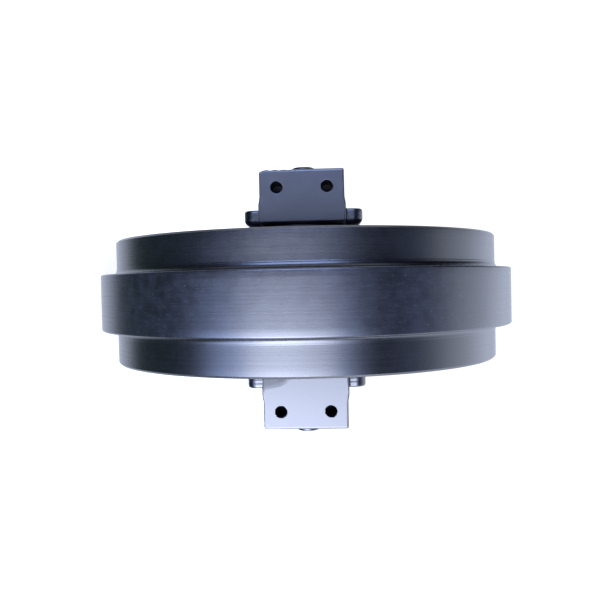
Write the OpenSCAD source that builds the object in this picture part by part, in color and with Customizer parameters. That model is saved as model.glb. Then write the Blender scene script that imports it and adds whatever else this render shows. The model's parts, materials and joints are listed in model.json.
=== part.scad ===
// Front idler (guide wheel) unit of a tracked excavator.
// A welded flanged wheel turns on a fixed, oil-filled shaft held by two forged brackets.
// The axle lies along Y, the brackets' bolting faces look towards -X, and +Z is up.
// The origin is the wheel's centre. Left is +Y, right is -Y. Lengths are in millimetres.

/* [Wheel rim] */
// Diameter of the two treads that the track links roll on
tread_d = 538; // [520:1:550]
// Diameter of the guide flange between the treads
flange_d = 581; // [570:1:600]
// Width of the rim over both treads
rim_w = 168; // [160:1:176]
// Width of the guide flange
flange_w = 76; // [60:1:90]
// Thickness of the rim under the treads
rim_t = 30; // [26:1:34]
// Radius of the fillet at each foot of the flange
foot_r = 7; // [4:0.5:10]
// Radius that rounds the flange's two corners
flange_corner_r = 2.5; // [1:0.5:5]
// Chamfer on the rim's outer edges
rim_chamfer = 2.7; // [1:0.1:5]

/* [Webs and hub] */
// Thickness of each dished web disc
web_t = 16; // [12:1:18]
// How far a web's outer face lies inside the rim's side
web_recess = 24; // [20:1:30]
// How far the web rises outwards from the rim to the hub
web_dish = 16; // [8:1:18]
// Outer diameter of the hub tube
hub_d = 140; // [136:1:142]
// Distance from the wheel's centre to the hub's end face
hub_end = 93.5; // [92:0.5:93.5]
// Leg length of the weld fillets
weld_leg = 9; // [6:0.5:10]

/* [Shaft and bushes] */
// Diameter of the shaft
shaft_d = 75; // [70:1:76]
// Length of the shaft
shaft_l = 356; // [350:1:360]
// Diameter of the thrust collar in the middle of the shaft
collar_d = 87.2; // [85:0.1:87.2]
// Half the length of the thrust collar
collar_half = 26.7; // [20:0.1:26.7]
// Outer diameter of the bushes
bush_d = 88; // [88:1:90]
// Distance from the wheel's centre to a bush's inner end
bush_start = 27; // [27:1:30]
// Length of a bush
bush_l = 48; // [40:1:50]
// Radial running clearance between the shaft and the bushes
running_clearance = 0.05; // [0.02:0.01:0.09]

/* [Brackets] */
// Distance from the axle to the bolting face
face_x = 110; // [100:1:120]
// Width of the bracket block at its foot
block_w = 113; // [108:0.5:118]
// Width of the bracket block at its outer end
block_end_w = 112; // [106:0.5:116]
// Distance from the wheel's centre to the bracket's inner face
bracket_in = 102.5; // [102:0.5:104]
// Distance from the wheel's centre to the bracket's outer face
bracket_out = 172; // [168:1:174]
// Width of the guide plate
plate_w = 166; // [160:1:176]
// Depth of the guide plate, front to back
plate_depth = 120; // [116:1:130]
// Thickness of the guide plate
plate_t = 22; // [18:1:24]
// Radius of the guide plate's corners
plate_r = 15; // [10:1:20]
// Chamfer on the guide plate's edge next to the wheel
plate_chamfer = 5.5; // [4:0.5:8]
// Outer diameter of the dust skirt round the hub's end
skirt_d = 160; // [156:1:164]

/* [Bolting face] */
// Distance between the two tapped holes of a bracket
bolt_spacing = 66.5; // [60:0.5:72]
// Distance from the wheel's centre to the row of tapped holes
bolt_y = 148.5; // [144:0.5:152]
// Diameter of the tapped holes, drilled for an M18 thread
bolt_hole_d = 15.5; // [14:0.5:17]
// Depth of the tapped holes
bolt_hole_depth = 40; // [30:1:42]

/* [Lock pins and plugs] */
// Diameter of the lock pins
pin_d = 18; // [16:1:18]
// Length of the lock pins
pin_l = 90; // [80:1:94]
// Distance from the axle to the lock pins' centre line
pin_x = 36; // [35:1:38]
// Distance from the wheel's centre to the lock pins
pin_y = 150; // [148:1:152]
// Diameter of the plugs' round heads
plug_head_d = 33; // [30:1:34]
// Height of the filler plug's head
filler_head_h = 10.5; // [9:0.5:14]
// Height of the drain plug's head
drain_head_h = 14.5; // [9:0.5:16]

/* [Hidden] */
$fn = 96;
LEFT = 1;
RIGHT = -1;
eps = 1;

tread_r = tread_d / 2;
flange_r = flange_d / 2;
rim_in_r = tread_r - rim_t;
rim_half = rim_w / 2;
flange_half = flange_w / 2;

hub_r = hub_d / 2;
bush_r = bush_d / 2;
shaft_r = shaft_d / 2;
bush_bore_r = shaft_r + running_clearance;

// Outer face of a web where it meets the rim, and where it meets the hub
web_rim_y = rim_half - web_recess;
web_hub_y = web_rim_y + web_dish;
web_slope = web_dish / (rim_in_r - hub_r);

// Oil chamber in the middle of the hub
chamber_r = 50;
chamber_half = 22;

// Face seal: two metal rings meet at seal_y, each pressed on by a rubber toric ring
seal_y = 94;
seal_gap_half = 0.15;
seal_seat_r = 60;
seal_seat_depth = 15;
seal_in_r = 45;
seal_body_r = 50;
seal_ramp_r = 52;
seal_lip_r = 57;
seal_lip_t = 3;
seal_ring_l = 12;
toric_r = 4.6;
toric_centre_r = 55.5;
toric_back = 7.8;

// Dust skirt of a bracket, which laps over the hub's end
skirt_in_r = hub_r + 1.5;
skirt_y = 88;

// Static O-ring between a bracket and the shaft
bracket_bore_r = shaft_r + 0.05;
groove_y = 118;
groove_w = 6.5;
groove_r = shaft_r + 5;
o_ring_r = 2.6;

// Forging details of a bracket
corner_r = 4;
plate_edge = 3;
flare_foot = 3.2;
flare_h = 9;

// Oil ways and plug threads
gallery_r = 5;
cross_hole_r = 4;
cross_hole_y = 50;
thread_r = 10;
thread_depth = 20;
plug_shank_l = 18;
thread_clearance = 0.05;
washer_r = 17.5;
washer_t = 2;
socket_af = 12;
socket_depth = 7;
shaft_chamfer = 3;

// Lock pins and their retaining rings
ring_t = 1.5;
ring_gap = 1;
ring_groove_r = pin_d / 2 + 1;
ring_in_r = pin_d / 2 - 2.5;
pin_hole_r = pin_d / 2 + 0.05;
pin_chamfer = 1.5;

// Turns a shape built along Z so that it lies along the axle
module along_axle() rotate([-90, 0, 0]) children();

// Revolves a profile of [radius, place along the axle] round the axle
module revolve() along_axle() rotate_extrude() children();

// A shape drawn for the left side, kept there or mirrored to the right
module on_side(side) {
    if (side == LEFT) children();
    else mirror([0, 1, 0]) children();
}

// Ring with a rectangular section from radius r0 to r1 and from y0 to y1
module ring(r0, r1, y0, y1) revolve() translate([r0, y0]) square([r1 - r0, y1 - y0]);

// Disc of radius r from y0 to y1
module disc(r, y0, y1) along_axle() translate([0, 0, y0]) cylinder(r = r, h = y1 - y0);

// ---- Wheel ----

// Concave quarter-round in the corner between the tread and the flange
module foot_fillet() {
    translate([tread_r, flange_half]) difference() {
        translate([-eps, -eps]) square(foot_r + eps);
        translate([foot_r, foot_r]) circle(foot_r);
    }
}

// Flange with its two outer corners rounded
module flange_section() {
    depth = flange_r - rim_in_r;
    translate([rim_in_r, -flange_half]) square([depth - flange_corner_r, flange_w]);
    translate([rim_in_r, flange_corner_r - flange_half])
        square([depth, flange_w - 2 * flange_corner_r]);
    for (side = [LEFT, RIGHT])
        translate([flange_r - flange_corner_r, side * (flange_half - flange_corner_r)])
            circle(flange_corner_r);
}

module rim() color("#23262f") revolve() difference() {
    union() {
        translate([rim_in_r, -rim_half]) square([rim_t, rim_w]);
        flange_section();
        foot_fillet();
        mirror([0, 1]) foot_fillet();
    }
    for (side = [LEFT, RIGHT])
        translate([tread_r, side * rim_half]) rotate(45)
            square(rim_chamfer * sqrt(2), center = true);
}

// Dished disc, welded between the hub and the rim
module web(side) color("#262932") on_side(side) revolve() polygon([
    [hub_r, web_hub_y], [rim_in_r, web_rim_y],
    [rim_in_r, web_rim_y - web_t], [hub_r, web_hub_y - web_t]
]);

// Fillet weld all round, on the outer side of a web's rim joint
module rim_weld(side) on_side(side) revolve() polygon([
    [rim_in_r, web_rim_y], [rim_in_r, web_rim_y + weld_leg],
    [rim_in_r - weld_leg * 0.42, web_rim_y + weld_leg * 0.52],
    [rim_in_r - weld_leg, web_rim_y + weld_leg * web_slope]
]);

// Fillet weld all round, on the outer side of a web's hub joint
module hub_weld(side) on_side(side) revolve() polygon([
    [hub_r, web_hub_y], [hub_r + weld_leg, web_hub_y - weld_leg * web_slope],
    [hub_r + weld_leg * 0.48, web_hub_y + weld_leg * 0.4],
    [hub_r, web_hub_y + weld_leg]
]);

module rim_welds() color("#2a2d36") for (side = [LEFT, RIGHT]) rim_weld(side);

module hub_welds() color("#2a2d36") for (side = [LEFT, RIGHT]) hub_weld(side);

// Thick tube with bush seats, a central oil chamber and a seal seat in each end
module hub() color("#262932") difference() {
    disc(hub_r, -hub_end, hub_end);
    disc(bush_r, -hub_end - eps, hub_end + eps);
    ring(bush_r - eps, chamber_r, -chamber_half, chamber_half);
    for (side = [LEFT, RIGHT]) on_side(side)
        ring(bush_r - eps, seal_seat_r, hub_end - seal_seat_depth, hub_end + eps);
}

module bush(side) color("#a9803f") on_side(side)
    ring(bush_bore_r, bush_r, bush_start, bush_start + bush_l);

// ---- Face seals ----

// Metal seal ring, with its lapped face at zero and its body below it
module seal_section() polygon([
    [seal_in_r, 0], [seal_lip_r, 0], [seal_lip_r, -seal_lip_t], [seal_ramp_r, -seal_lip_t - 1],
    [seal_body_r, 2 - seal_ring_l], [seal_body_r, -seal_ring_l], [seal_in_r, -seal_ring_l]
]);

module turning_seal(side) color("#8d9098") on_side(side) revolve()
    translate([0, seal_y - seal_gap_half]) seal_section();

module fixed_seal(side) color("#8d9098") on_side(side) revolve()
    translate([0, seal_y + seal_gap_half]) mirror([0, 1]) seal_section();

module turning_toric(side) color("#17181a") on_side(side) revolve()
    translate([toric_centre_r, seal_y - toric_back]) circle(toric_r);

module fixed_toric(side) color("#17181a") on_side(side) revolve()
    translate([toric_centre_r, seal_y + toric_back]) circle(toric_r);

// ---- Shaft and what it holds ----

module shaft_blank() {
    half = shaft_l / 2;
    revolve() polygon([
        [0, -half], [shaft_r - shaft_chamfer, -half], [shaft_r, shaft_chamfer - half],
        [shaft_r, half - shaft_chamfer], [shaft_r - shaft_chamfer, half], [0, half]
    ]);
    disc(collar_d / 2, -collar_half, collar_half);
}

// Straight hole of radius r along Z, through x and y
module upright_hole(r, x, y, length) translate([x, y, -length / 2]) cylinder(r = r, h = length);

module shaft() color("#777b84") difference() {
    shaft_blank();
    disc(gallery_r, -shaft_l / 2 - eps, shaft_l / 2 + eps);
    for (side = [LEFT, RIGHT]) {
        on_side(side) disc(thread_r + thread_clearance, shaft_l / 2 - thread_depth, shaft_l / 2 + eps);
        upright_hole(pin_hole_r, -pin_x, side * pin_y, 2 * block_w);
        upright_hole(cross_hole_r, 0, side * cross_hole_y, shaft_d + 2 * eps);
    }
}

module o_ring(side) color("#17181a") on_side(side) revolve()
    translate([shaft_r + 2.5, groove_y + groove_w / 2]) circle(o_ring_r);

// Socket-headed oil plug, with its head's underside at zero
module plug(head_h) difference() {
    union() {
        translate([0, 0, head_h - 1.5])
            cylinder(r1 = plug_head_d / 2, r2 = plug_head_d / 2 - 1.5, h = 1.5);
        cylinder(d = plug_head_d, h = head_h - 1.5);
        translate([0, 0, -plug_shank_l]) cylinder(r = thread_r, h = plug_shank_l);
    }
    translate([0, 0, head_h - socket_depth])
        cylinder(r = socket_af / sqrt(3), h = socket_depth + eps, $fn = 6);
}

module oil_plug(side, head_h) color("#2b2e36") on_side(side) along_axle()
    translate([0, 0, shaft_l / 2 + washer_t]) plug(head_h);

module plug_washer(side) color("#a5683c") on_side(side)
    ring(thread_r + 0.3, washer_r, shaft_l / 2, shaft_l / 2 + washer_t);

// ---- Brackets ----

// Block outline seen along X: [across, along the axle], drafted and flared at its foot
module block_outline() {
    foot = block_w / 2;
    tip = block_end_w / 2;
    plate_y = bracket_in + plate_t;
    flare_y = plate_y + flare_h;
    for (half = [0, 1]) mirror([half, 0]) {
        polygon([
            [-eps, bracket_in], [foot, bracket_in], [foot + flare_foot, plate_y],
            [foot + flare_foot / 4, plate_y + flare_h / 3], [foot, flare_y],
            [tip, bracket_out - corner_r], [-eps, bracket_out - corner_r]
        ]);
        translate([-eps, bracket_out - corner_r - eps]) square([tip - corner_r + eps, corner_r + eps]);
        translate([tip - corner_r, bracket_out - corner_r]) circle(corner_r);
    }
}

// Body of the block, from the bolting face to the axle
module block() rotate([0, -90, 0]) linear_extrude(face_x) block_outline();

// Round back of the block, which wraps the shaft
module block_back() along_axle() {
    translate([0, 0, bracket_in])
        cylinder(r1 = block_w / 2, r2 = block_end_w / 2, h = bracket_out - bracket_in - corner_r);
    translate([0, 0, bracket_out - corner_r])
        cylinder(r1 = block_end_w / 2, r2 = block_end_w / 2 - corner_r, h = corner_r);
}

// Rounded outline of the guide plate, drawn in by inset
module plate_outline(inset) {
    r = plate_r - inset / 2;
    x = plate_depth / 2 - inset - r;
    z = plate_w / 2 - inset - r;
    hull() for (sx = [-1, 1], sz = [-1, 1]) translate([sx * x, sz * z]) circle(r, $fn = 32);
}

// Layer of the guide plate of height h, from y upwards
module plate_layer(inset, y, h) along_axle() translate([0, 0, y]) linear_extrude(h)
    plate_outline(inset);

// Guide plate: one solid, chamfered next to the wheel and eased on its outer edge
module guide_plate() {
    skin = 0.01;
    hull() {
        plate_layer(plate_chamfer, bracket_in, skin);
        plate_layer(0, bracket_in + plate_chamfer, plate_t - plate_chamfer - plate_edge);
        plate_layer(plate_edge, bracket_in + plate_t - skin, skin);
    }
}

// Tapped hole with a drill point, opening at the bolting face
module bolt_hole(z) translate([-face_x, bolt_y, z]) rotate([0, 90, 0]) {
    translate([0, 0, -eps]) cylinder(d = bolt_hole_d, h = bolt_hole_depth + eps);
    translate([0, 0, bolt_hole_depth])
        cylinder(r1 = bolt_hole_d / 2, r2 = 0, h = bolt_hole_d * 0.3);
}

module bracket(side) color("#2b303d") on_side(side) difference() {
    union() {
        block();
        block_back();
        guide_plate();
        disc(skirt_d / 2, skirt_y, bracket_in + eps);
    }
    disc(bracket_bore_r, skirt_y - eps, bracket_out + eps);
    disc(skirt_in_r, skirt_y - eps, seal_y + 0.5);
    disc(seal_seat_r, skirt_y, 2 * seal_y - hub_end + seal_seat_depth);
    ring(shaft_r - eps, groove_r, groove_y, groove_y + groove_w);
    for (z = [-bolt_spacing / 2, bolt_spacing / 2]) bolt_hole(z);
    upright_hole(pin_hole_r, -pin_x, pin_y, 2 * block_w);
    for (up = [-1, 1]) translate([-pin_x, pin_y, up * (pin_l / 2 + ring_gap + ring_t / 2)])
        cylinder(r = ring_groove_r, h = ring_t + 0.1, center = true);
}

// ---- Locking ----

module lock_pin(side) color("#5b5f68") translate([-pin_x, side * pin_y, 0]) {
    straight = pin_l - 2 * pin_chamfer;
    cylinder(d = pin_d, h = straight, center = true);
    for (up = [0, 1]) mirror([0, 0, up]) translate([0, 0, straight / 2])
        cylinder(r1 = pin_d / 2, r2 = pin_d / 2 - pin_chamfer, h = pin_chamfer);
}

// Two open spring rings, one beyond each end of a lock pin
module retaining_rings(side) color("#3c3f47")
    for (up = [-1, 1])
        translate([-pin_x, side * pin_y, up * (pin_l / 2 + ring_gap + ring_t / 2)]) difference() {
            cylinder(r = ring_groove_r - 0.05, h = ring_t, center = true);
            cylinder(r = ring_in_r, h = ring_t + eps, center = true);
            translate([-pin_d, -1.5, -eps - ring_t / 2]) cube([pin_d, 3, ring_t + 2 * eps]);
        }

rim();
web(LEFT);  // web_left
web(RIGHT);  // web_right
hub();
rim_welds();
hub_welds();
bush(LEFT);  // bush_left
bush(RIGHT);  // bush_right
turning_seal(LEFT);  // turning_seal_left
turning_seal(RIGHT);  // turning_seal_right
turning_toric(LEFT);  // turning_toric_left
turning_toric(RIGHT);  // turning_toric_right
fixed_seal(LEFT);  // fixed_seal_left
fixed_seal(RIGHT);  // fixed_seal_right
fixed_toric(LEFT);  // fixed_toric_left
fixed_toric(RIGHT);  // fixed_toric_right
shaft();
bracket(LEFT);  // bracket_left
bracket(RIGHT);  // bracket_right
o_ring(LEFT);  // shaft_o_ring_left
o_ring(RIGHT);  // shaft_o_ring_right
lock_pin(LEFT);  // lock_pin_left
lock_pin(RIGHT);  // lock_pin_right
retaining_rings(LEFT);  // retaining_rings_left
retaining_rings(RIGHT);  // retaining_rings_right
oil_plug(LEFT, filler_head_h);  // filler_plug
oil_plug(RIGHT, drain_head_h);  // drain_plug
plug_washer(LEFT);  // plug_washer_left
plug_washer(RIGHT);  // plug_washer_right
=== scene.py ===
"""Looks of a front idler: an enamelled, flanged wheel on a fixed shaft between two forged brackets.

Lengths are metres in the CAD frame: the axle lies along Y, the bolting faces look towards -X, +Z is up.
A surface of revolution is a profile of (radius, y) points carried round the axle.
"""

import json
import math

import bmesh
import bpy
import numpy as np
from mathutils import Matrix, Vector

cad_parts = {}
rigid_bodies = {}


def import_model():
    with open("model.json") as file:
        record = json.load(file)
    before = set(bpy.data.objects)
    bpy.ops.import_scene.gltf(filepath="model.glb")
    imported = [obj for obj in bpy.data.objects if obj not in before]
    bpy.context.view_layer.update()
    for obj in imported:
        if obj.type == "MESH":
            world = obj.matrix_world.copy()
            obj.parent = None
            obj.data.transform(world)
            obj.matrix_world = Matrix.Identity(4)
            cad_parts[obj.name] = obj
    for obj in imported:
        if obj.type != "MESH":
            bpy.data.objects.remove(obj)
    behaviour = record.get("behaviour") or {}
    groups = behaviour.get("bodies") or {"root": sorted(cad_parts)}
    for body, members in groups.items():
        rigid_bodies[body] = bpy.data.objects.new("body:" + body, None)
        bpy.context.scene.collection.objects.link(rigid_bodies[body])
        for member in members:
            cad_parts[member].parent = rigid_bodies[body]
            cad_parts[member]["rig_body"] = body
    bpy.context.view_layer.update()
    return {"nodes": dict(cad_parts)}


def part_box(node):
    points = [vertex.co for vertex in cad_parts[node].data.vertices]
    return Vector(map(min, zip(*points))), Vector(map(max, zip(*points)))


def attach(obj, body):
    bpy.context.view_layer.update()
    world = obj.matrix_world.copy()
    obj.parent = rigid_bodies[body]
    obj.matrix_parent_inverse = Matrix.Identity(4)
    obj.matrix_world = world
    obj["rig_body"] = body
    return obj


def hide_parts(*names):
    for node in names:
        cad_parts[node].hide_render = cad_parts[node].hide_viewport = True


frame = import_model()

MM = 0.001
WHEEL = "wheel"
AXLE = "axle_unit"

# Driving sizes, from the frame where a node's box gives them
RIM_LOW, RIM_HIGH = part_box("rim")
FLANGE_R = RIM_HIGH.z
RIM_HALF = RIM_HIGH.y
TREAD_R = FLANGE_R - 21.5 * MM
RIM_IN_R = TREAD_R - 30 * MM
FLANGE_HALF = 38 * MM
FOOT_R = 7 * MM
HUB_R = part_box("hub")[1].x
WEB_RIM_Y = 60 * MM
WEB_HUB_Y = 76 * MM
WEB_T = 16 * MM
WELD_LEG = 9 * MM


# ---------------------------------------------------------------- camera

CAMERA_DISTANCE = 1.032
CAMERA_LENS = 41.94
CAMERA_YAW = 1.9
CAMERA_PITCH = 1.24
CAMERA_ROLL = 1.2
CAMERA_AIM_RIGHT = 8.7 * MM
CAMERA_AIM_UP = 3.1 * MM


def make_camera():
    """Camera in front of the bolting faces, with the axle upright in its picture.

    Its place is the wheel's centre, moved by the aim, then turned: roll about the view, pitch
    about the picture's width, and yaw about the axle.
    """
    data = bpy.data.cameras.new("camera")
    data.sensor_width = 36
    data.lens = CAMERA_LENS
    data.clip_start = 0.01
    data.clip_end = 200
    camera = bpy.data.objects.new("camera", data)
    bpy.context.scene.collection.objects.link(camera)
    turned = Matrix.Rotation(math.radians(CAMERA_ROLL), 4, "Z") @ Matrix.Rotation(
        math.radians(CAMERA_PITCH), 4, "X"
    )
    aim = Matrix.Translation((-CAMERA_AIM_RIGHT, -CAMERA_AIM_UP, CAMERA_DISTANCE))
    to_frame = Matrix.Rotation(math.radians(CAMERA_YAW - 90), 4, "Y")
    camera.matrix_world = to_frame @ turned.inverted() @ aim
    bpy.context.scene.camera = camera


make_camera()


# ---------------------------------------------------------------- shader helpers


def linear(code):
    """Linear RGBA of an sRGB hex colour."""
    parts = np.array([int(code[i : i + 2], 16) for i in (1, 3, 5)]) / 255
    low = parts / 12.92
    high = ((parts + 0.055) / 1.055) ** 2.4
    return (*np.where(parts <= 0.04045, low, high), 1.0)


def add(tree, kind, inputs=(), out=0, **settings):
    """Adds a shader node and returns its socket out.

    settings are the node's properties, inputs its sockets' values or the sockets they come from.
    """
    made = tree.nodes.new(kind)
    for name, value in settings.items():
        setattr(made, name, value)
    for name, value in dict(inputs).items():
        if isinstance(value, bpy.types.NodeSocket):
            tree.links.new(value, made.inputs[name])
        else:
            made.inputs[name].default_value = value
    return made.outputs[out] if made.outputs else None


def new_material(name):
    """Empty node material, with its tree."""
    made = bpy.data.materials.new(name)
    made.use_nodes = True
    made.node_tree.nodes.clear()
    return made, made.node_tree


# ---------------------------------------------------------------- materials

ENAMEL_BLACK = linear("#020203")
ENAMEL_DUST = linear("#1f2229")
SCUFF = linear("#4a4f5a")
HANDLED_DUST = 0.16

# Sizes that the patterns' scales come from
DUST_PATCH = 14 * MM
DUST_GRAIN = 2.4 * MM  # coarser than real dust, which would be too fine to show
ORANGE_PEEL = 3 * MM
FORGED_PITS = 8 * MM
STAIN = 16 * MM
FEED_MARKS_MM = 3.3  # coarser than the lathe's real feed, which would be too fine to show


def enamel(name, rough, peel=0.25, dust=0.3, turned=False, gritty=0.0):
    """Black alkyd enamel sprayed over steel: near-black semi-gloss film with slight orange peel.

    peel is the orange peel's share of the bump. dust is how far a thin veil of dry dust hides the
    film, and where the handled attribute is 1 that is HANDLED_DUST. gritty is the share of a
    forging's coarse skin under the film, where the raw attribute says that no tool has cut it.
    turned adds the lathe's feed marks, drawn a few millimetres apart so that they show, which
    follow the run attribute: the distance along the turned profile in millimetres.
    """
    made, tree = new_material(name)
    place = add(tree, "ShaderNodeTexCoord", out="Object")
    blotch = add(tree, "ShaderNodeTexNoise",
                 {"Vector": place, "Scale": 1 / DUST_PATCH, "Detail": 4.0, "Roughness": 0.6})
    fine = add(tree, "ShaderNodeTexNoise",
               {"Vector": place, "Scale": 1 / DUST_GRAIN, "Detail": 3.0, "Roughness": 0.65})
    handled = add(tree, "ShaderNodeAttribute", out="Fac", attribute_name="handled")
    dirt = add(tree, "ShaderNodeMapRange",
               {"Value": handled, "To Min": dust, "To Max": max(dust, HANDLED_DUST)})
    patchy = add(tree, "ShaderNodeMapRange",
                 {"Value": blotch, "From Min": 0.3, "From Max": 0.7, "To Min": 0.3, "To Max": 1.6})
    grain = add(tree, "ShaderNodeMapRange",
                {"Value": fine, "From Min": 0.3, "From Max": 0.7, "To Min": 0.8, "To Max": 1.1})
    worn = add(tree, "ShaderNodeMath", {0: patchy, 1: dirt}, operation="MULTIPLY")
    veil = add(tree, "ShaderNodeMath", {0: worn, 1: grain}, operation="MULTIPLY")
    film = add(tree, "ShaderNodeMix", {0: veil, 6: ENAMEL_BLACK, 7: ENAMEL_DUST}, out=2,
               data_type="RGBA")
    speck = add(tree, "ShaderNodeMapRange",
                {"Value": fine, "From Min": 0.6, "From Max": 0.74, "To Max": worn},
                interpolation_type="SMOOTHSTEP")
    colour = add(tree, "ShaderNodeMix", {0: speck, 6: film, 7: SCUFF}, out=2, data_type="RGBA")
    orange = add(tree, "ShaderNodeTexNoise",
                 {"Vector": place, "Scale": 1 / ORANGE_PEEL, "Detail": 2.0, "Roughness": 0.5})
    height = add(tree, "ShaderNodeMath", {0: orange, 1: peel}, operation="MULTIPLY")
    gloss = add(tree, "ShaderNodeMapRange",
                {"Value": blotch, "From Min": 0.3, "From Max": 0.7,
                 "To Min": rough - 0.005, "To Max": rough + 0.008},
                interpolation_type="SMOOTHSTEP")
    if gritty:
        skin = add(tree, "ShaderNodeTexNoise",
                   {"Vector": place, "Scale": 1 / FORGED_PITS, "Detail": 4.0, "Roughness": 0.65})
        raw = add(tree, "ShaderNodeAttribute", out="Fac", attribute_name="raw")
        pitted = add(tree, "ShaderNodeMath", {0: skin, 1: raw}, operation="MULTIPLY")
        height = add(tree, "ShaderNodeMath", {0: pitted, 1: gritty, 2: height},
                     operation="MULTIPLY_ADD")
    if turned:
        run = add(tree, "ShaderNodeAttribute", out="Fac", attribute_name="run")
        marks = add(tree, "ShaderNodeTexNoise",
                    {"W": run, "Scale": 1 / FEED_MARKS_MM, "Detail": 2.0, "Roughness": 0.6},
                    noise_dimensions="1D")
        height = add(tree, "ShaderNodeMath", {0: marks, 1: 0.7, 2: height},
                     operation="MULTIPLY_ADD")
        drier = add(tree, "ShaderNodeMapRange",
                    {"Value": marks, "From Min": 0.3, "From Max": 0.7,
                     "To Min": -0.01, "To Max": 0.014})
        gloss = add(tree, "ShaderNodeMath", {0: gloss, 1: drier}, operation="ADD")
    bump = add(tree, "ShaderNodeBump", {"Height": height, "Strength": 0.35, "Distance": 0.00006})
    shader = add(tree, "ShaderNodeBsdfPrincipled",
                 {"Base Color": colour, "Roughness": gloss, "IOR": 1.5, "Normal": bump})
    add(tree, "ShaderNodeOutputMaterial", {"Surface": shader})
    return made


WHEEL_ENAMEL = enamel("turned_steel_black_enamel", rough=0.27, dust=0.03, turned=True)
PLATE_ENAMEL = enamel("rolled_plate_black_enamel", rough=0.32, peel=0.8, dust=0.15)
FORGING_ENAMEL = enamel("forged_steel_black_enamel", rough=0.28, peel=0.15, dust=0.15, gritty=4.0)
SMALL_ENAMEL = enamel("small_parts_black_enamel", rough=0.3, peel=0.5, dust=0.15)
WELD_ENAMEL = enamel("weld_bead_black_enamel", rough=0.26, peel=0.6, dust=0.1)


def bare(name, code, rough, metallic=1.0):
    """Bare metal or rubber with a fine grain: its colour drifts a little, its roughness more."""
    made, tree = new_material(name)
    place = add(tree, "ShaderNodeTexCoord", out="Object")
    cloud = add(tree, "ShaderNodeTexNoise", {"Vector": place, "Scale": 1 / STAIN, "Detail": 3.0})
    dark = tuple(0.7 * part for part in linear(code)[:3]) + (1.0,)
    colour = add(tree, "ShaderNodeMix", {0: cloud, 6: dark, 7: linear(code)}, out=2,
                 data_type="RGBA")
    gloss = add(tree, "ShaderNodeMapRange",
                {"Value": cloud, "From Min": 0.2, "From Max": 0.8,
                 "To Min": rough - 0.06, "To Max": rough + 0.1})
    shader = add(tree, "ShaderNodeBsdfPrincipled",
                 {"Base Color": colour, "Metallic": metallic, "Roughness": gloss})
    add(tree, "ShaderNodeOutputMaterial", {"Surface": shader})
    return made


def tapped(name, pitch_mm):
    """Tapped hole's bare steel with thread crests one pitch apart: painted shade, near black with weak
    specular, darker between crests.
    """
    made, tree = new_material(name)
    place = add(tree, "ShaderNodeTexCoord", out="Object")
    crests = add(tree, "ShaderNodeTexWave",
                 {"Vector": place, "Scale": 2 * math.pi / 20 / (pitch_mm * MM)},
                 bands_direction="X")
    bump = add(tree, "ShaderNodeBump", {"Height": crests, "Strength": 1.0, "Distance": 0.001})
    # painted shade: near-black colour, darkest in the thread roots between crests, and a weak specular,
    # so the hole reads as dark as its shaded depth
    colour = add(tree, "ShaderNodeMix", {0: crests, 6: linear("#020203"), 7: linear("#0b0c0e")},
                 out=2, data_type="RGBA")
    shader = add(tree, "ShaderNodeBsdfPrincipled",
                 {"Base Color": colour, "Roughness": 0.5, "Specular IOR Level": 0.12, "Normal": bump})
    add(tree, "ShaderNodeOutputMaterial", {"Surface": shader})
    return made


TAPPED_STEEL_PAINTED_SHADE = tapped("tapped_steel_painted_shade", 2.5)
BRONZE = bare("bored_bronze", "#b98a4b", 0.3)
LAPPED_IRON = bare("lapped_chilled_iron", "#a9abb0", 0.22)
SPRING_STEEL = bare("oiled_spring_steel", "#5b5f66", 0.35)
RUBBER = bare("moulded_nitrile_rubber", "#1d1d1f", 0.6, metallic=0.0)


# ---------------------------------------------------------------- surfaces


def mesh_object(name, points, faces, material, body, smooth=True):
    """Object from arrays of points and faces, riding on body."""
    mesh = bpy.data.meshes.new(name)
    mesh.from_pydata(points.tolist(), [], faces.tolist())
    mesh.materials.append(material)
    mesh.polygons.foreach_set("use_smooth", np.full(len(mesh.polygons), smooth))
    mesh.update()
    made = bpy.data.objects.new(name, mesh)
    bpy.context.scene.collection.objects.link(made)
    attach(made, body)
    return made


def smooth_step(value, low, high):
    """0 below low, 1 above high, and 3t^2 - 2t^3 between."""
    t = np.clip((value - low) / (high - low), 0, 1)
    return t * t * (3 - 2 * t)


def rounded_loop(corners, steps=7, spacing=4 * MM):
    """Closed profile through corners (radius, y, rounding), each corner replaced by an arc.

    An arc of radius q fits its corner where its ends lie q / tan(half the inner angle) back
    along both sides. Straight stretches are cut so that no step is longer than spacing.
    """
    spots = np.array([c[:2] for c in corners], float)
    rounds = np.array([c[2] for c in corners], float)
    path = []
    for i, spot in enumerate(spots):
        back = spots[i - 1] - spot
        ahead = spots[(i + 1) % len(spots)] - spot
        back /= np.linalg.norm(back)
        ahead /= np.linalg.norm(ahead)
        half = 0.5 * math.acos(np.clip(back @ ahead, -1, 1))
        if rounds[i] == 0:
            path.append(spot[None])
            continue
        start = spot + back * rounds[i] / math.tan(half)
        end = spot + ahead * rounds[i] / math.tan(half)
        bisector = (back + ahead) / np.linalg.norm(back + ahead)
        centre = spot + bisector * rounds[i] / math.sin(half)
        share = np.linspace(0, 1, steps)[:, None]
        chord = start + (end - start) * share - centre
        path.append(centre + chord / np.linalg.norm(chord, axis=1)[:, None] * rounds[i])
    path = np.vstack(path)
    ahead = np.roll(path, -1, axis=0)
    pieces = np.maximum(1, np.ceil(np.linalg.norm(ahead - path, axis=1) / spacing)).astype(int)
    which = np.repeat(np.arange(len(path)), pieces)
    step = np.arange(len(which)) - np.repeat(np.cumsum(pieces) - pieces, pieces)
    share = (step / pieces[which])[:, None]
    return path[which] * (1 - share) + ahead[which] * share


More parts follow.
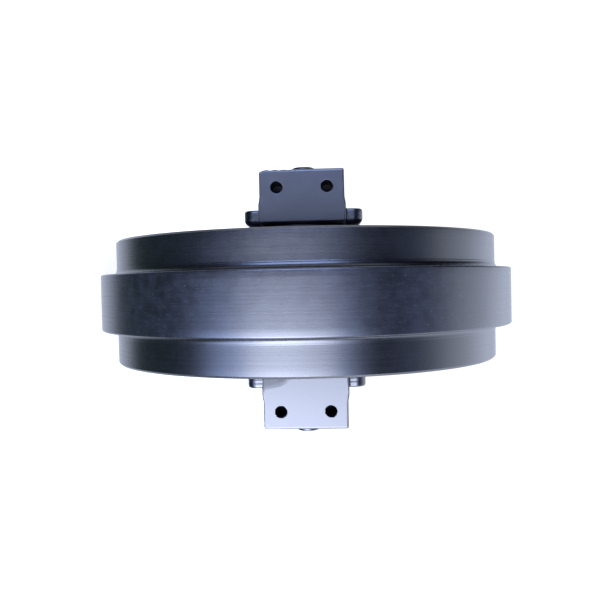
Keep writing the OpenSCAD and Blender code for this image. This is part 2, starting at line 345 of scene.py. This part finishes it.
def lathe(name, profile, material, body, segments=720, side=1, ripple=None):
    """Closed profile (radius, y) turned round the axle, mirrored to -Y where side is -1.

    Point (i, j) lies at angle 2 pi i / segments: x = r sin, z = r cos. ripple(angle, share)
    gives an outward growth of the profile about its own middle. The run attribute is the
    distance along the profile in millimetres, and handled is 1 on the flange, which the wheel
    was rolled about on.
    """
    angle = np.linspace(0, 2 * math.pi, segments, endpoint=False)[:, None]
    count = len(profile)
    middle = profile.mean(0)
    grow = np.zeros((segments, count)) if ripple is None else ripple(angle, np.arange(count) / count)
    from_middle = profile - middle
    from_middle /= np.linalg.norm(from_middle, axis=1)[:, None]
    r = profile[:, 0] + grow * from_middle[:, 0]
    y = profile[:, 1] + grow * from_middle[:, 1]
    points = np.stack([r * np.sin(angle), side * y, r * np.cos(angle)], axis=-1).reshape(-1, 3)
    i, j = np.meshgrid(np.arange(segments), np.arange(count), indexing="ij")
    i2, j2 = (i + 1) % segments, (j + 1) % count
    quads = np.stack([i * count + j, i * count + j2, i2 * count + j2, i2 * count + j], axis=-1)
    quads = quads.reshape(-1, 4)
    shifted = np.roll(profile, -1, axis=0)
    area = np.sum(profile[:, 0] * shifted[:, 1] - shifted[:, 0] * profile[:, 1])
    if area * side < 0:
        quads = quads[:, ::-1]
    made = mesh_object(name, points, quads, material, body)
    gaps = np.linalg.norm(np.diff(profile, axis=0, prepend=profile[-1:]), axis=1)
    gaps[0] = 0
    run = np.tile(np.cumsum(gaps) / MM, segments).astype(np.float32)
    attribute = made.data.attributes.new("run", "FLOAT", "POINT")
    attribute.data.foreach_set("value", run)
    handled = smooth_step(profile[:, 0], FLANGE_R - 6 * MM, FLANGE_R - 0.5 * MM)
    attribute = made.data.attributes.new("handled", "FLOAT", "POINT")
    attribute.data.foreach_set("value", np.tile(handled, segments).astype(np.float32))
    return made


def make_rim():
    """Rim with a central guide flange: treads on both sides, round feet, chamfered edges.

    The form tool that cut each foot ran out a little above the tread, which left a small step.
    """
    cut = 2.7 * MM
    ease = 0.6 * MM
    step = 0.25 * MM
    run_out = FLANGE_HALF + FOOT_R + 0.6 * MM
    upper = [
        (FLANGE_R, FLANGE_HALF, 2.5 * MM),
        (TREAD_R + step, FLANGE_HALF, FOOT_R),
        (TREAD_R + step, run_out, 0.3 * MM),
        (TREAD_R, run_out + 0.8 * MM, 0.3 * MM),
        (TREAD_R, RIM_HALF - cut, ease),
        (TREAD_R - cut, RIM_HALF, ease),
        (RIM_IN_R, RIM_HALF, 1.5 * MM),
    ]
    lower = [(r, -y, q) for r, y, q in reversed(upper)]
    outline = rounded_loop(lower + upper, spacing=10 * MM)
    rim = lathe("rim_turned", outline, WHEEL_ENAMEL, WHEEL)
    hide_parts("rim")


make_rim()


def make_web(name, side):
    """Dished disc between hub and rim, rolled flat, pressed to a cone and welded in."""
    corners = [
        (HUB_R, WEB_HUB_Y - WEB_T, 0),
        (RIM_IN_R, WEB_RIM_Y - WEB_T, 0),
        (RIM_IN_R, WEB_RIM_Y, 0),
        (HUB_R, WEB_HUB_Y, 0),
    ]
    web = lathe(name + "_pressed", rounded_loop(corners), PLATE_ENAMEL, WHEEL, 360, side)
    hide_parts(name)


make_web("web_left", 1)
make_web("web_right", -1)


def weld_ripple(pitch, radius, height):
    """Growth of a weld bead: crescents one pitch apart, dragged back at the bead's edges.

    height * (0.5 + 0.5 cos(2 pi (angle * radius / pitch + lag))) with lag = share squared,
    times a slow drift of the welder's hand.
    """
    beads = round(2 * math.pi * radius / pitch)

    def grow(angle, share):
        lag = (2 * share[None] - 1) ** 2
        crescents = 0.5 + 0.5 * np.cos(beads * angle + 2 * math.pi * lag)
        drift = 0.7 + 0.3 * np.sin(5 * angle + 1.3) * np.sin(13 * angle)
        return height * (crescents * drift - 0.8)

    return grow


def make_welds(name, corner, reach, radius, count):
    """Fillet beads round the corner of two plates, one on each side of the wheel.

    The bead's profile runs from the corner along both plates, with a slightly crowned face.
    """
    for side, tag in ((1, "left"), (-1, "right")):
        corner_r, corner_y = corner
        leg_r, leg_y, slope = reach
        share = np.linspace(0, 1, 9)[:, None]
        foot = np.array([corner_r + leg_r, corner_y - abs(leg_r) * slope])
        top = np.array([corner_r, corner_y + leg_y])
        face = foot + (top - foot) * share
        out = np.array([np.sign(leg_r), 1.0]) / math.sqrt(2)
        face = face + out * 1.1 * MM * np.sin(math.pi * share)
        profile = np.vstack([[corner_r, corner_y], face])
        ripple = weld_ripple(3.6 * MM, radius, 0.7 * MM)
        bead = lathe(f"{name}_{tag}", profile, WELD_ENAMEL, WHEEL, count, side, ripple)
        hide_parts(name)


WEB_SLOPE = (WEB_HUB_Y - WEB_RIM_Y) / (RIM_IN_R - HUB_R)
make_welds("rim_welds", (RIM_IN_R, WEB_RIM_Y), (-WELD_LEG, WELD_LEG, -WEB_SLOPE), RIM_IN_R, 2400)
make_welds("hub_welds", (HUB_R, WEB_HUB_Y), (WELD_LEG, WELD_LEG, WEB_SLOPE), HUB_R, 960)


# ---------------------------------------------------------------- forged brackets


def fillet_union(a, b, r):
    """Union of two distances with a fillet of radius r in the valley between them."""
    return np.maximum(r, np.minimum(a, b)) - np.hypot(np.maximum(r - a, 0), np.maximum(r - b, 0))


def round_cut(a, b, r):
    """Common part of two distances with its edge rounded to radius r."""
    return np.minimum(-r, np.maximum(a, b)) + np.hypot(np.maximum(r + a, 0), np.maximum(r + b, 0))


FACE_X = 110.0
BRACKET_IN = 102.5
BRACKET_OUT = 172.0
BLOCK_HALF = 56.5
BLOCK_TIP_HALF = 56.0
PLATE_HALF_X = 60.0
PLATE_HALF_Z = 83.0
PLATE_R = 15.0
PLATE_TOP = 124.5
PLATE_CHAMFER = 5.5
SKIRT_R = 80.0
SKIRT_IN_R = 71.5
SKIRT_Y = 88.0
SKIRT_FLOOR_Y = 94.5
SEAT_R = 60.0
SEAT_FLOOR_Y = 109.5
BORE_R = 37.55
BOLT_R = 7.75
BOLT_Y = 148.5
BOLT_Z = 33.25
BOLT_END_X = -70.0
PIN_R = 9.05
PIN_X = -36.0
PIN_Y = 150.0
RIDGE_PITCH = 5.2  # rolled ridges round the plate's edge
RIDGE_HEIGHT = 0.05
TRIM_PITCH = 11.5  # bites of the tool that trimmed the forging's flash
TRIM_START = 23.5


def bracket_distance(x, y, z, trim, scale_pit):
    """About the distance in millimetres from a point to a left bracket's skin, negative inside.

    Block: sides |z| = half width, carried round the axle behind it, flared beside the plate, and
    met by the bolting face and the outer face. Plate: rounded rectangle about the axle with
    rolled ridges along its edge, chamfered next to the wheel. Skirt: short cylinder.
    trim is how ragged the trimmed outer edge of the bolting face is, in millimetres. scale_pit
    is the slope at which the raw forging falls away, in the one corner that the mill missed.
    """
    rho = np.hypot(x, z)
    rise = (y - BRACKET_IN) / (BRACKET_OUT - BRACKET_IN)
    half = BLOCK_HALF + (BLOCK_TIP_HALF - BLOCK_HALF) * rise
    flare = 0.6 + 0.9 * smooth_step(y, BRACKET_IN, PLATE_TOP - 2)
    half = half + flare * (1 - smooth_step(y, PLATE_TOP, PLATE_TOP + 12))
    sides = np.hypot(np.maximum(x, 0), z) - half
    missed = 0.49 * (-z - 19) + 0.872 * (BRACKET_IN - y) + 0.5 + 2.8 * np.cos((z + 30) / 7.5)
    face = -FACE_X - x + scale_pit * np.maximum(missed, 0)
    waves = 0.5 - 0.5 * np.cos(2 * np.pi * (z + TRIM_START) / TRIM_PITCH)
    waves = waves * smooth_step(-z, 2, 14)
    ragged = trim * (waves + 2.2 * smooth_step(-z, 50, 56.5))
    outer = y - BRACKET_OUT + ragged * smooth_step(-x, 88, 106)
    block = round_cut(round_cut(sides, face, 1.7), outer, 2.6)
    out_x = np.abs(x) - (PLATE_HALF_X - PLATE_R)
    out_z = np.abs(z) - (PLATE_HALF_Z - PLATE_R)
    outline = np.hypot(np.maximum(out_x, 0), np.maximum(out_z, 0)) - PLATE_R
    outline = outline + np.minimum(np.maximum(out_x, out_z), 0)
    wander = 0.6 * np.sin(z / 9) + 0.4 * np.sin(x / 7)
    outline = outline + RIDGE_HEIGHT * (1 + np.sin(2 * np.pi * y / RIDGE_PITCH + wander))
    inner = BRACKET_IN - y
    bevel = (outline + inner + PLATE_CHAMFER) / math.sqrt(2)
    plate = round_cut(round_cut(outline, y - PLATE_TOP, 3.5), bevel, 2.0)
    body = round_cut(fillet_union(block, plate, 4.0), inner, 2.0)
    skirt = round_cut(np.maximum(rho - SKIRT_R, y - BRACKET_IN - 6), SKIRT_Y - y, 1.5)
    body = fillet_union(body, skirt, 2.0)
    body = round_cut(body, BORE_R - rho, 1.2)
    body = round_cut(body, -np.maximum(rho - SKIRT_IN_R, y - SKIRT_FLOOR_Y), 0.8)
    body = round_cut(body, -np.maximum(rho - SEAT_R, y - SEAT_FLOOR_Y), 0.8)
    bolt = np.hypot(y - BOLT_Y, np.abs(z) - BOLT_Z) - BOLT_R
    body = round_cut(body, -np.maximum(bolt, x - BOLT_END_X), 0.35)
    return round_cut(body, PIN_R - np.hypot(x - PIN_X, y - PIN_Y), 0.8)


NEWTON_STEPS = 3


def skin_of(distance, low, high, pitch):
    """Closed quad mesh of distance = 0 in the box low..high, with unit normals.

    One point stands in each cell that the skin passes through, at the mean of the crossings on
    the cell's edges; then NEWTON_STEPS steps, p - f g / |g|^2, put it on the skin.
    """
    axes = [np.arange(a - 1.5 * pitch, b + 2.5 * pitch, pitch) for a, b in zip(low, high)]
    value = distance(*np.meshgrid(*axes, indexing="ij", sparse=True))
    cells = np.array(value.shape) - 1
    total = np.zeros((*cells, 3))
    count = np.zeros(cells)
    crossings = []
    for axis in range(3):
        turn = [(axis + k) % 3 for k in range(3)]
        spun = np.transpose(value, turn)
        start, end = spun[:-1], spun[1:]
        crossed = (start < 0) != (end < 0)
        share = np.where(crossed, start / np.where(crossed, start - end, 1), 0)
        spun_total = np.transpose(total, [*turn, 3])
        spun_count = np.transpose(count, turn)
        for first in (0, 1):
            for second in (0, 1):
                part = (slice(None), slice(first, first + cells[turn[1]]),
                        slice(second, second + cells[turn[2]]))
                spun_count += crossed[part]
                spun_total[..., axis] += share[part]
                spun_total[..., turn[1]] += first * crossed[part]
                spun_total[..., turn[2]] += second * crossed[part]
        crossings.append((turn, crossed, start < 0))
    active = count > 0
    number = np.full(cells, -1)
    number[active] = np.arange(active.sum())
    quads = []
    for turn, crossed, outward in crossings:
        spun_number = np.transpose(number, turn)
        i, j, k = np.nonzero(crossed[:, 1:-1, 1:-1])
        ring = [spun_number[i, j, k], spun_number[i, j + 1, k],
                spun_number[i, j + 1, k + 1], spun_number[i, j, k + 1]]
        quad = np.stack(ring, axis=1)
        facing = outward[i, j + 1, k + 1]
        quads.append(np.where(facing[:, None], quad, quad[:, ::-1]))
    corner = np.argwhere(active) + total[active] / count[active][:, None]
    points = corner * pitch + np.array([a[0] for a in axes])
    for _ in range(NEWTON_STEPS):
        here = distance(*points.T)
        slope = gradient(distance, points)
        step = here[:, None] * slope / np.maximum((slope**2).sum(1), 0.1)[:, None]
        points = points - np.clip(step, -0.5 * pitch, 0.5 * pitch)
    slope = gradient(distance, points)
    return points, np.vstack(quads), slope / np.linalg.norm(slope, axis=1)[:, None]


def gradient(distance, points, reach=0.05):
    """Central differences of distance at the points."""
    steps = np.eye(3) * reach
    rises = [distance(*(points + s).T) - distance(*(points - s).T) for s in steps]
    return np.stack(rises, 1) / (2 * reach)


BRACKET_PITCH = 1.3


def make_bracket(name, side, trim, scale_pit):
    """Forged bracket: its skin in millimetres, scaled to metres and mirrored to its side.

    The raw attribute is 1 on forged skin and 0 on what the mill, the drill and the boring bar
    cut. Faces in the two bolt holes carry the tapped steel's near-black painted shade.
    """
    low = (-FACE_X, SKIRT_Y, -PLATE_HALF_Z)
    high = (SKIRT_R, BRACKET_OUT, PLATE_HALF_Z)

    def distance(x, y, z):
        return bracket_distance(x, y, z, trim, scale_pit)

    points, quads, normals = skin_of(distance, low, high, BRACKET_PITCH)
    x, y, z = points.T
    cut_depth = 0.12
    milled = (np.abs(x + FACE_X) < cut_depth) | (np.hypot(x, z) < BORE_R + cut_depth)
    milled |= y < BRACKET_IN + cut_depth
    middle = points[quads].mean(axis=1)
    # faces inside the bolt holes, which take the near-black tapped steel as painted shade
    holes = np.hypot(middle[:, 1] - BOLT_Y, np.abs(middle[:, 2]) - BOLT_Z) < BOLT_R + 0.1
    holes &= (middle[:, 0] > -FACE_X + 0.4) & (middle[:, 0] < BOLT_END_X + 1)
    flip = np.array([1, side, 1])
    if side < 0:
        quads = quads[:, ::-1]
    bracket = mesh_object(name + "_forged", points * MM * flip, quads, FORGING_ENAMEL, AXLE)
    # second slot: near-black tapped steel, painted shade for the bolt holes' depth
    bracket.data.materials.append(TAPPED_STEEL_PAINTED_SHADE)
    bracket.data.polygons.foreach_set("material_index", holes.astype(np.int32))
    raw = bracket.data.attributes.new("raw", "FLOAT", "POINT")
    raw.data.foreach_set("value", np.where(milled, 0, 1).astype(np.float32))
    bracket.data.normals_split_custom_set_from_vertices((normals * flip).tolist())
    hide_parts(name)


make_bracket("bracket_left", 1, trim=0.85, scale_pit=0.0)
make_bracket("bracket_right", -1, trim=0.2, scale_pit=0.06)


# ---------------------------------------------------------------- hub, shaft and small parts


def machined(name, material, ease):
    """Copy of a CAD node with its loose triangles merged and its sharp edges eased."""
    source = frame["nodes"][name]
    mesh = source.data.copy()
    mesh.name = name + "_machined"
    made = bpy.data.objects.new(name + "_machined", mesh)
    bpy.context.scene.collection.objects.link(made)
    grid = bmesh.new()
    grid.from_mesh(mesh)
    bmesh.ops.remove_doubles(grid, verts=grid.verts, dist=0.000005)
    bmesh.ops.dissolve_limit(grid, angle_limit=math.radians(1.0), verts=grid.verts, edges=grid.edges)
    grid.to_mesh(mesh)
    grid.free()
    mesh.materials.clear()
    mesh.materials.append(material)
    if ease:
        bevel = made.modifiers.new("eased_edges", "BEVEL")
        bevel.width = ease
        bevel.segments = 2
        bevel.limit_method = "ANGLE"
        bevel.angle_limit = math.radians(35)
    mesh.shade_smooth()
    mesh.set_sharp_from_angle(angle=math.radians(38))
    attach(made, source["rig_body"])
    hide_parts(name)
    return made


for part, material, ease, slot in (
    ("filler_plug", SMALL_ENAMEL, 0.5 * MM, "plug_enamel"),
    ("drain_plug", SMALL_ENAMEL, 0.5 * MM, "plug_enamel"),
    ("plug_washer_left", SMALL_ENAMEL, 0.2 * MM, "copper_washer"),
    ("plug_washer_right", SMALL_ENAMEL, 0.2 * MM, "copper_washer"),
    ("lock_pin_left", SPRING_STEEL, 0, "pin_steel"),
    ("lock_pin_right", SPRING_STEEL, 0, "pin_steel"),
    ("retaining_rings_left", SPRING_STEEL, 0, "pin_steel"),
    ("retaining_rings_right", SPRING_STEEL, 0, "pin_steel"),
    ("hub", SMALL_ENAMEL, 0.4 * MM, "black_enamel_wheel"),
    ("shaft", SMALL_ENAMEL, 0, "ground_steel"),
):
    machined(part, material, ease)

for part, material in (
    ("bush_left", BRONZE), ("bush_right", BRONZE),
    ("turning_seal_left", LAPPED_IRON), ("turning_seal_right", LAPPED_IRON),
    ("fixed_seal_left", LAPPED_IRON), ("fixed_seal_right", LAPPED_IRON),
    ("turning_toric_left", RUBBER), ("turning_toric_right", RUBBER),
    ("fixed_toric_left", RUBBER), ("fixed_toric_right", RUBBER),
    ("shaft_o_ring_left", RUBBER), ("shaft_o_ring_right", RUBBER),
):
    piece = frame["nodes"][part]
    piece.data.materials.clear()
    piece.data.materials.append(material)


# ---------------------------------------------------------------- studio


def make_floor():
    """Pale floor under the wheel, kept out of the light that falls on the enamel.

    It glows a little, so that the wheel's contact shadow stays faint.
    """
    made, tree = new_material("pale_floor")
    matt = add(tree, "ShaderNodeBsdfDiffuse", {"Color": linear("#b4b6ba")})
    glow = add(tree, "ShaderNodeEmission", {"Color": linear("#ffffff"), "Strength": 0.86})
    both = add(tree, "ShaderNodeAddShader", {0: matt, 1: glow})
    add(tree, "ShaderNodeOutputMaterial", {"Surface": both})
    reach = 30.0
    points = np.array([[-1, -1], [1, -1], [1, 1], [-1, 1]]) * reach
    points = np.hstack([points, np.full((4, 1), RIM_LOW.z)])
    mesh = bpy.data.meshes.new("floor")
    mesh.from_pydata(points.tolist(), [], [(0, 1, 2, 3)])
    mesh.materials.append(made)
    floor = bpy.data.objects.new("floor", mesh)
    bpy.context.scene.collection.objects.link(floor)
    floor.visible_glossy = False
    floor.visible_diffuse = False
    floor.visible_shadow = False


DAYLIGHT = "#dce6ff"
SKYLIGHT = "#b0c6ff"
BLUE_PANEL = "#a6beff"
WARM_PANE = "#fff8e8"
GREEN_WALL = "#80c8a8"

# Soft windows of light about the axle: azimuth of the middle and half the width in degrees
# (0 towards -X, 90 towards +Z), height from and to in degrees towards +Y, softness of the
# sides and of the ends in degrees, radiance, colour.
SOFTBOXES = (
    (-15, 39, -65, -5, 14, 2, 16, SKYLIGHT),  # broad window in front, below the axle's middle
    (-8, 25, -65, -6, 3, 2, 10, WARM_PANE),  # its crisp, warmer pane
    (-15, 15, -65, -6, 14, 2, 13, DAYLIGHT),  # the brightest part of it
    (-5, 26, 16, 45, 6, 3, 20, BLUE_PANEL),  # panel above the middle
    (65, 12, -90, 5, 3, 8, 1, SKYLIGHT),  # dim strip between the window and the wall
    (105, 27, -90, 10, 14, 15, 3.5, DAYLIGHT),  # wall on the +Z side
    (-175, 54, -90, 90, 8, 5, 1.5, DAYLIGHT),  # wall behind
    (-95, 25, -90, 60, 10, 5, 0.15, GREEN_WALL),  # dim green wall on the -Z side
    (0, 360, 62, 100, 8, 8, 2, DAYLIGHT),  # ceiling
    (0, 360, -100, -66, 8, 4, 3, DAYLIGHT),  # bounce from below
)
AMBIENT = 0.03


def make_sky():
    """Windows of light round the axle; the camera itself sees a plain white backdrop.

    A direction's azimuth is atan2(z, -x) and its height asin(y). Each window is the product of
    three smooth steps, one for how far round it is from the window's middle and one for each
    end, times its colour and radiance, and the windows add up.
    """
    world = bpy.data.worlds.new("studio")
    world.use_nodes = True
    tree = world.node_tree
    tree.nodes.clear()
    place = add(tree, "ShaderNodeTexCoord", out="Generated")
    split = add(tree, "ShaderNodeSeparateXYZ", {0: place}).node
    back = add(tree, "ShaderNodeMath", {0: split.outputs[0], 1: -1.0}, operation="MULTIPLY")
    azimuth = add(tree, "ShaderNodeMath", {0: split.outputs[2], 1: back}, operation="ARCTAN2")
    azimuth = add(tree, "ShaderNodeMath", {0: azimuth}, operation="DEGREES")
    height = add(tree, "ShaderNodeMath", {0: split.outputs[1]}, operation="ARCSINE")
    height = add(tree, "ShaderNodeMath", {0: height}, operation="DEGREES")
    total = (AMBIENT,) * 3
    for middle, half, low, high, across, up, radiance, code in SOFTBOXES:
        off = add(tree, "ShaderNodeMath", {0: azimuth, 1: middle}, operation="SUBTRACT")
        off = add(tree, "ShaderNodeMath", {0: off, 1: 180.0, 2: -180.0}, operation="WRAP")
        off = add(tree, "ShaderNodeMath", {0: off}, operation="ABSOLUTE")
        box = 1.0
        for angle, edge, soft in ((off, half, -across), (height, low, up), (height, high, -up)):
            step = add(tree, "ShaderNodeMapRange",
                       {"Value": angle, "From Min": edge - soft, "From Max": edge + soft},
                       interpolation_type="SMOOTHSTEP")
            box = add(tree, "ShaderNodeMath", {0: step, 1: box}, operation="MULTIPLY")
        glow = tuple(radiance * part for part in linear(code)[:3])
        total = add(tree, "ShaderNodeVectorMath", {0: box, 1: glow, 2: total},
                    operation="MULTIPLY_ADD")
    lit = add(tree, "ShaderNodeBackground", {"Color": total})
    white = add(tree, "ShaderNodeBackground", {"Color": (1, 1, 1, 1), "Strength": 1.1})
    seen = add(tree, "ShaderNodeLightPath", out="Is Camera Ray")
    both = add(tree, "ShaderNodeMixShader", {0: seen, 1: lit, 2: white})
    add(tree, "ShaderNodeOutputWorld", {"Surface": both})
    bpy.context.scene.world = world


make_floor()
make_sky()
bpy.context.scene.view_settings.view_transform = "Standard"
bpy.context.scene.cycles.use_denoising = True
